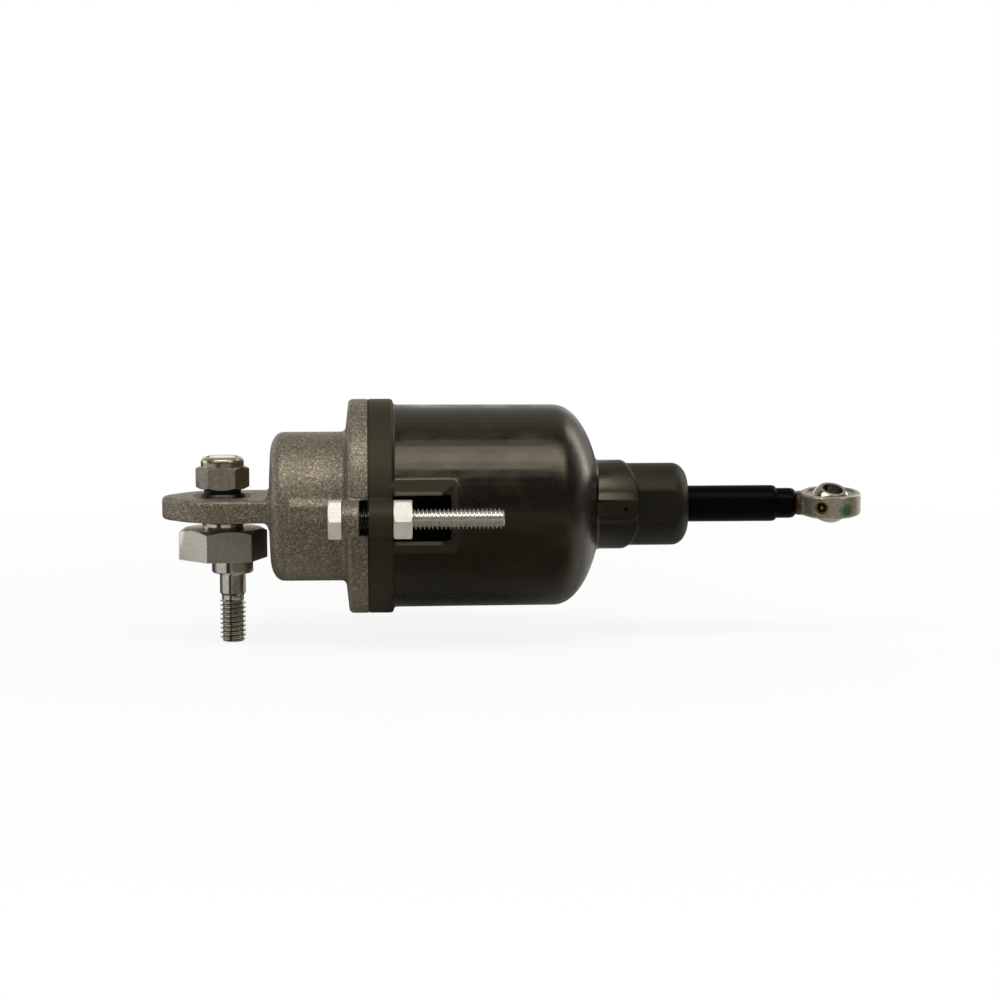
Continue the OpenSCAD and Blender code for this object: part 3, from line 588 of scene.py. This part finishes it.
# Diaphragm
# Fabric-backed rubber, moulded with a rim bead, a rolling fold and a flat crown.
# The rim half stays with the housing and the crown half goes with the rod, parted in the fold.
along_x = Matrix.Rotation(math.pi / 2, 3, "Y")
sheet_thick = 0.5
rim_r = 32.7
bead_outer_r = 30.6
bead_inner_r = 28.6
bead_deep = 2.4
hub_r = 3.1
crown_x = 1.3
fold_r = 25.1
fold_x = 14
fold_inside = 0.8
fold_outside = fold_inside + sheet_thick
fold_angles = [math.radians(6 * step) for step in range(16)]


def fold_arc(radius, side):
    return [(fold_r + side * radius * math.cos(a), fold_x + radius * math.sin(a)) for a in fold_angles]


rim_line = [(fold_r + fold_inside, 0), (rim_r, 0), (rim_r, sheet_thick)]
rim_line += [(bead_outer_r, sheet_thick), (bead_outer_r, bead_deep)]
rim_line += [(bead_inner_r, bead_deep), (bead_inner_r, sheet_thick)]
rim_line += [(fold_r + fold_outside, sheet_thick)]
rim_line += fold_arc(fold_outside, 1)
rim_line += reversed(fold_arc(fold_inside, 1))
rim_line += [rim_line[0]]
crown_line = [(hub_r, crown_x), (fold_r - fold_inside, crown_x)]
crown_line += fold_arc(fold_inside, -1)
crown_line += reversed(fold_arc(fold_outside, -1))
crown_line += [(fold_r - fold_outside, crown_x + sheet_thick), (hub_r, crown_x + sheet_thick)]
crown_line += [crown_line[0]]
rubber_skin = finish(
    "diaphragm_rubber", dark=(0.004, 0.004, 0.0035), light=(0.014, 0.0135, 0.012), rough=(0.6, 0.8),
    metallic=0.0, grain=1600.0, depth=0.05)
for name, line, body in (("diaphragm_rim", rim_line, "housing"), ("diaphragm_crown", crown_line, "rod")):
    sheet = lathed(name, line, steps=96)
    place(sheet, along_x, (joint_x, 0, axis_z))
    round_shade(sheet, angle=40)
    coat(sheet, rubber_skin)
    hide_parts("diaphragm")
    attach(sheet, body)

# Body housing
# The can, its dome and the stepped neck are one moulding in glass-filled black plastic, satin outside.
# A low frame is added round each nut pocket, and all is remeshed and relaxed to a moulding's soft edges.
# A pair gives where a change of finish, a painted highlight or a painted shade begins and where it is full.
matt_r = (31.2, 31.6)
crest_r = (35.3, 35.6)
crest_x = (50.0, 50.4)
neck_x = (112.0, 124.0)
vent_r = (0.7, 0.55)
vent_x = 120.4
vent_y = -14.3
pocket_middle_x = joint_x + 16.4
pocket_half_length = 8.8
pocket_half_width = 6.9
matt_rough = 0.55
painted_shade_black = (0.001, 0.001, 0.0008, 1)
can_skin = finish(
    "satin_moulding", dark=(0.0035, 0.003, 0.0017), light=(0.008, 0.0068, 0.0042), rough=(0.23, 0.38),
    metallic=0.0, grain=1300.0, depth=0.045, specular=0.6)
can_tree = can_skin.node_tree
can_shine = can_tree.nodes["Principled BSDF"].inputs
can_shine["Specular Tint"].default_value = (1.0, 0.93, 0.72, 1)
can_dust = spread(can_tree, can_tree.nodes["marks"].outputs["Patches"], 0.5, 0.75, 0.0, 0.35)
overlay(can_skin, can_dust, (0.026, 0.023, 0.016, 1))
can_place = can_tree.nodes.new("ShaderNodeTexCoord").outputs["Object"]
can_from = vector_math(can_tree, "SUBTRACT", can_place, (0, 0, axis_z * MM))[0]
can_along = can_tree.nodes.new("ShaderNodeSeparateXYZ")
can_tree.links.new(can_from, can_along.inputs[0])
can_across = vector_math(can_tree, "MULTIPLY", can_from, (0, 1, 1))[0]
can_radius = vector_math(can_tree, "LENGTH", can_across)["Value"]


def can_band(value, edges, to_high):
    return spread(can_tree, value, edges[0] * MM, edges[1] * MM, 0.0, to_high)


matt_parts = can_band(can_radius, matt_r, 1.0)
overlay(can_skin, matt_parts, (0.03, 0.026, 0.016, 1))
# Painted highlight: the pocket walls' crests get a lighter colour along them.
painted_crest_highlight = calculate(
    can_tree, "MULTIPLY", can_band(can_radius, crest_r, 0.7), can_band(can_along.outputs["X"], crest_x, 1.0))
overlay(can_skin, painted_crest_highlight, (0.13, 0.12, 0.09, 1))
nose_dull = can_band(can_along.outputs["X"], neck_x, 1.0)
can_dull = calculate(can_tree, "MAXIMUM", matt_parts, nose_dull)
can_rough = can_shine["Roughness"]
feed(can_tree, mix_value(can_tree, can_dull, can_rough.links[0].from_socket, matt_rough), can_rough)
# Painted shade: the nut pockets and the vent hole get a near-black colour and almost no gloss.
pocket_from = vector_math(can_tree, "SUBTRACT", can_from, (pocket_middle_x * MM, 0, 0))[0]
pocket_off = vector_math(can_tree, "ABSOLUTE", pocket_from)[0]
pocket_size = (pocket_half_length * MM, 1, pocket_half_width * MM)
pocket_share = vector_math(can_tree, "DIVIDE", pocket_off, pocket_size)[0]
pocket_sides = can_tree.nodes.new("ShaderNodeSeparateXYZ")
can_tree.links.new(pocket_share, pocket_sides.inputs[0])
pocket_inside = calculate(can_tree, "MAXIMUM", pocket_sides.outputs["X"], pocket_sides.outputs["Z"])
painted_pocket_shade = spread(can_tree, pocket_inside, 1.0, 0.97, 0.0, 1.0)
vent_away = vector_math(can_tree, "DISTANCE", can_from, (vent_x * MM, vent_y * MM, 0))["Value"]
painted_vent_shade = can_band(vent_away, vent_r, 1.0)
can_gloss = can_shine["Specular IOR Level"].default_value
for mask, gloss in ((nose_dull, 0.34), (matt_parts, 0.25), (painted_pocket_shade, 0.02), (painted_vent_shade, 0.02)):
    can_gloss = mix_value(can_tree, mask, can_gloss, gloss)
feed(can_tree, can_gloss, can_shine["Specular IOR Level"])
for hole in (painted_pocket_shade, painted_vent_shade):
    overlay(can_skin, hole, painted_shade_black)
can_start_x = joint_x + 0.5
can_x = joint_x + 7.8
pad_foot_r = 28
pad_crest_r = 31.6
pad_length = 19.5
pad_width = 21.6
pad_sink = 0.1
frame_length = 17.3
frame_width = 13.5
cut_spare = 1


def block(name, start_x, length, width):
    across = 90
    bpy.ops.mesh.primitive_cube_add(size=MM)
    piece = bpy.context.object
    piece.name = name
    bpy.ops.object.mode_set(mode="EDIT")
    bpy.ops.transform.resize(value=(length, across, width))
    bpy.ops.transform.translate(value=((start_x + length / 2) * MM, 0, axis_z * MM))
    bpy.ops.object.mode_set(mode="OBJECT")
    return piece


def round_far_corners(piece, radius):
    pick(piece)
    far_x = max(corner.co.x for corner in piece.data.vertices)
    for edge in piece.data.edges:
        ends = [piece.data.vertices[corner].co for corner in edge.vertices]
        along_y = abs(ends[0].z - ends[1].z) < close_by
        edge.select = along_y and all(far_x - end.x < close_by for end in ends)
    bpy.ops.object.mode_set(mode="EDIT")
    bpy.ops.mesh.bevel(offset=radius * MM, segments=6)
    bpy.ops.object.mode_set(mode="OBJECT")


pad_ring = [
    (pad_foot_r, 0), (pad_crest_r, 0), (pad_crest_r, pad_length), (pad_foot_r, pad_length), (pad_foot_r, 0)]
pocket_pads = lathed("pocket_pads", pad_ring, steps=144)
place(pocket_pads, along_x, (can_x - pad_sink, 0, axis_z))
pad_outline = block("outline", can_x - cut_spare, pad_length - pad_sink + cut_spare, pad_width)
round_far_corners(pad_outline, radius=2.2)
cut_with(pocket_pads, pad_outline, "INTERSECT")
pad_pocket = block("pocket", can_x - cut_spare, frame_length + cut_spare, frame_width)
round_far_corners(pad_pocket, radius=2.0)
cut_with(pocket_pads, pad_pocket, "DIFFERENCE")
moulded_can = merged_copy("body_housing", "moulded_can")
stretch_end(moulded_can, can_start_x, -end_spare)
moulded_can = joined("moulded_can", [moulded_can, pocket_pads])
soften(moulded_can, cell=0.36, rounds=7, share=0.3)
trim_end(moulded_can, can_start_x, "clear_inner")
round_shade(moulded_can, angle=50)
coat(moulded_can, can_skin)
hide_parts("body_housing")
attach(moulded_can, "housing")

# Flange bolts and nuts
# Two long hexagon screws, threaded up to the head, with plain nuts in the moulded pockets, zinc plated.
# One screw is cut with a real helix and copied to the other side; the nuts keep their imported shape.
bolt_r = 36.0
bolt_head_x = joint_x - 7.8
screw_r = 3.17
screw_pitch = 1.27
screw_length = 48.7
head_flats = 11.11
head_height = 4.0
shade_x = joint_x + 0.3
zinc_skin = finish(
    "bright_zinc", dark=(0.71, 0.7, 0.65), light=(0.88, 0.87, 0.81), rough=(0.36, 0.5),
    metallic=0.3, grain=1500.0, depth=0.02)
zinc_tree = zinc_skin.node_tree
zinc_dulled = spread(zinc_tree, zinc_tree.nodes["marks"].outputs["Patches"], 0.5, 0.7, 0.0, 0.45)
overlay(zinc_skin, zinc_dulled, (0.52, 0.51, 0.47, 1))
thread_skin = finish(
    "zinc_thread", dark=(0.66, 0.66, 0.62), light=(0.86, 0.86, 0.82), rough=(0.18, 0.3),
    metallic=0.84, grain=1500.0, depth=0.01)
thread_tree = thread_skin.node_tree
thread_x = object_axes(thread_tree)["X"]
# Painted shade: the thread from the head to just past the joint is coloured dark where it shows through the
# ears' notches.
painted_thread_shade = spread(thread_tree, thread_x, (shade_x + mask_blur) * MM, shade_x * MM, 0.0, 1.0)
overlay(thread_skin, painted_thread_shade, (0.06, 0.06, 0.054, 1))
screw_thread = threaded("screw_thread", screw_r, screw_pitch, screw_length, chamfer=0.8)
place(screw_thread, along_x, (bolt_head_x, -bolt_r, axis_z))
screw_head = hexagon("screw_head", head_flats, head_height)
place(screw_head, Matrix.Rotation(-math.pi / 2, 3, "Y"), (bolt_head_x, -bolt_r, axis_z))
coat(screw_thread, thread_skin)
coat(screw_head, zinc_skin)
near_screw = joined("near_screw", [screw_head, screw_thread])
far_screw = bpy.data.objects.new("far_screw", near_screw.data.copy())
bpy.context.scene.collection.objects.link(far_screw)
place(far_screw, Matrix.Identity(3), (0, 2 * bolt_r, 0))
flange_screws = joined("flange_screws", [near_screw, far_screw])
round_shade(flange_screws, angle=32)
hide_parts("flange_bolts")
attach(flange_screws, "housing")
coat(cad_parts["flange_nuts"], zinc_skin)

# Return spring
# A coil of oiled spring steel between the piston and the dome, with closed end coils.
# It shortens towards the dome as the rod goes out.
spring_skin = finish(
    "oiled_steel", dark=(0.12, 0.12, 0.12), light=(0.26, 0.26, 0.26), rough=(0.25, 0.4),
    metallic=1.0, grain=900.0, depth=0.02)
coil = merged_copy("return_spring", "return_coil")
round_shade(coil, angle=60)
coat(coil, spring_skin)
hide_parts("return_spring")
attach(coil, "housing")
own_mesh(coil)

# Piston, plate, screw and bush
# A moulded piston, a pressed clamping plate with its screw, and the bronze bush that guides the rod.
# They are closed in by the can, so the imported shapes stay.
piston_skin = finish(
    "piston_plastic", dark=(0.012, 0.012, 0.012), light=(0.03, 0.03, 0.03), rough=(0.45, 0.6),
    metallic=0.0, grain=1000.0, depth=0.03)
bronze_skin = finish(
    "plain_bronze", dark=(0.3, 0.21, 0.06), light=(0.45, 0.34, 0.12), rough=(0.25, 0.4),
    metallic=1.0, grain=900.0, depth=0.02)
coat(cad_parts["piston"], piston_skin)
coat(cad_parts["diaphragm_plate"], spring_skin)
coat(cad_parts["piston_screw"], zinc_skin)
coat(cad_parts["rod_bush"], bronze_skin)

# Rod
# A ground steel rod with a black satin coat, stepped down and flattened at its end for a spanner.
# The piston's screw holds it inside the can. It is a plain turned piece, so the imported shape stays.
rod_skin = finish(
    "black_coat", dark=(0.001, 0.001, 0.0008), light=(0.0025, 0.0024, 0.002), rough=(0.26, 0.4),
    metallic=0.0, grain=900.0, depth=0.01, specular=0.03)
coat(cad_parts["actuator_rod"], rod_skin)

# Rod end
# A forged, dull-plated eye screwed into the rod, with thread sealant at its root and a dab of green paint.
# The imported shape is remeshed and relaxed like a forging; race, ball and oiler keep their shapes.
eye_x = 184.2
sealant_x = (eye_x - 7.6, eye_x - 8.3)
sealant_ragged = 1.6
sealant_dark = (0.006, 0.003, 0.0012, 1)
sealant_light = (0.05, 0.024, 0.009, 1)
dab_middle = (eye_x + 4.2, -8.5, 18.6)
dab_r = (3.3, 1.8)
dab_ragged = 1.2
plate_metallic = 0.8
plate_gloss = 0.5
sealant_gloss = 0.12
forged_skin = finish(
    "dull_plate", dark=(0.27, 0.245, 0.195), light=(0.46, 0.43, 0.36), rough=(0.3, 0.46),
    metallic=plate_metallic, grain=900.0, depth=0.05, specular=plate_gloss)
forged_tree = forged_skin.node_tree
forged_fine = forged_tree.nodes["marks"].outputs["Fine"]
forged_shine = forged_tree.nodes["Principled BSDF"].inputs
forged_place = forged_tree.nodes.new("ShaderNodeTexCoord").outputs["Object"]
forged_x = object_axes(forged_tree)["X"]
sealant_edge = calculate(forged_tree, "MULTIPLY_ADD", forged_fine, sealant_ragged * MM, forged_x)
sealant = spread(forged_tree, sealant_edge, sealant_x[0] * MM, sealant_x[1] * MM, 0.0, 0.95)
sealant_tone = spread(forged_tree, forged_fine, 0.4, 0.6, 0.0, 1.0)
overlay(forged_skin, sealant, mix_colour(forged_tree, sealant_tone, sealant_dark, sealant_light))
feed(forged_tree, spread(forged_tree, sealant, 0.0, 1.0, plate_metallic, 0.0), forged_shine["Metallic"])
sealant_shift = sealant_ragged / 2
sealant_from = (sealant_x[0] - sealant_shift) * MM
sealant_to = (sealant_x[1] - sealant_shift) * MM
forged_gloss = spread(forged_tree, forged_x, sealant_from, sealant_to, plate_gloss, sealant_gloss)
feed(forged_tree, forged_gloss, forged_shine["Specular IOR Level"])
dab_away = vector_math(forged_tree, "DISTANCE", forged_place, Vector(dab_middle) * MM)["Value"]
dab_edge = calculate(forged_tree, "MULTIPLY_ADD", forged_fine, dab_ragged * MM, dab_away)
dab = spread(forged_tree, dab_edge, dab_r[0] * MM, dab_r[1] * MM, 0.0, 0.9)
overlay(forged_skin, dab, (0.05, 0.16, 0.075, 1))
forged_eye = merged_copy("rod_end_body", "forged_eye")
soften(forged_eye, cell=0.16, rounds=3, share=0.6)
coat(forged_eye, forged_skin)
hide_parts("rod_end_body")
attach(forged_eye, "rod")
coat(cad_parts["rod_end_race"], forged_skin)
ball_skin = finish(
    "polished_ball", dark=(0.36, 0.345, 0.3), light=(0.48, 0.46, 0.41), rough=(0.12, 0.24),
    metallic=1.0, grain=900.0, depth=0.004)
coat(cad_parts["rod_end_ball"], ball_skin)
eye_roll = Matrix.Rotation(math.radians(5.5), 3, "X")
oiler_turn = Matrix.Rotation(math.radians(-23), 3, "Z")
oiler_way = eye_roll @ oiler_turn @ Vector((0, -1, 0))
oiler_rim = (8.7, 8.3)
oiler_skin = finish(
    "oiler_brass", dark=(0.2, 0.17, 0.04), light=(0.36, 0.3, 0.08), rough=(0.25, 0.4),
    metallic=0.7, grain=900.0, depth=0.02)
oiler_tree = oiler_skin.node_tree
oiler_place = oiler_tree.nodes.new("ShaderNodeTexCoord").outputs["Object"]
oiler_from = vector_math(oiler_tree, "SUBTRACT", oiler_place, (eye_x * MM, 0, axis_z * MM))[0]
oiler_out = vector_math(oiler_tree, "DOT_PRODUCT", oiler_from, oiler_way)["Value"]
oiler_deep = spread(oiler_tree, oiler_out, oiler_rim[0] * MM, oiler_rim[1] * MM, 0.0, 1.0)
overlay(oiler_skin, oiler_deep, (0.016, 0.024, 0.005, 1))
coat(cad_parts["rod_end_oiler"], oiler_skin)
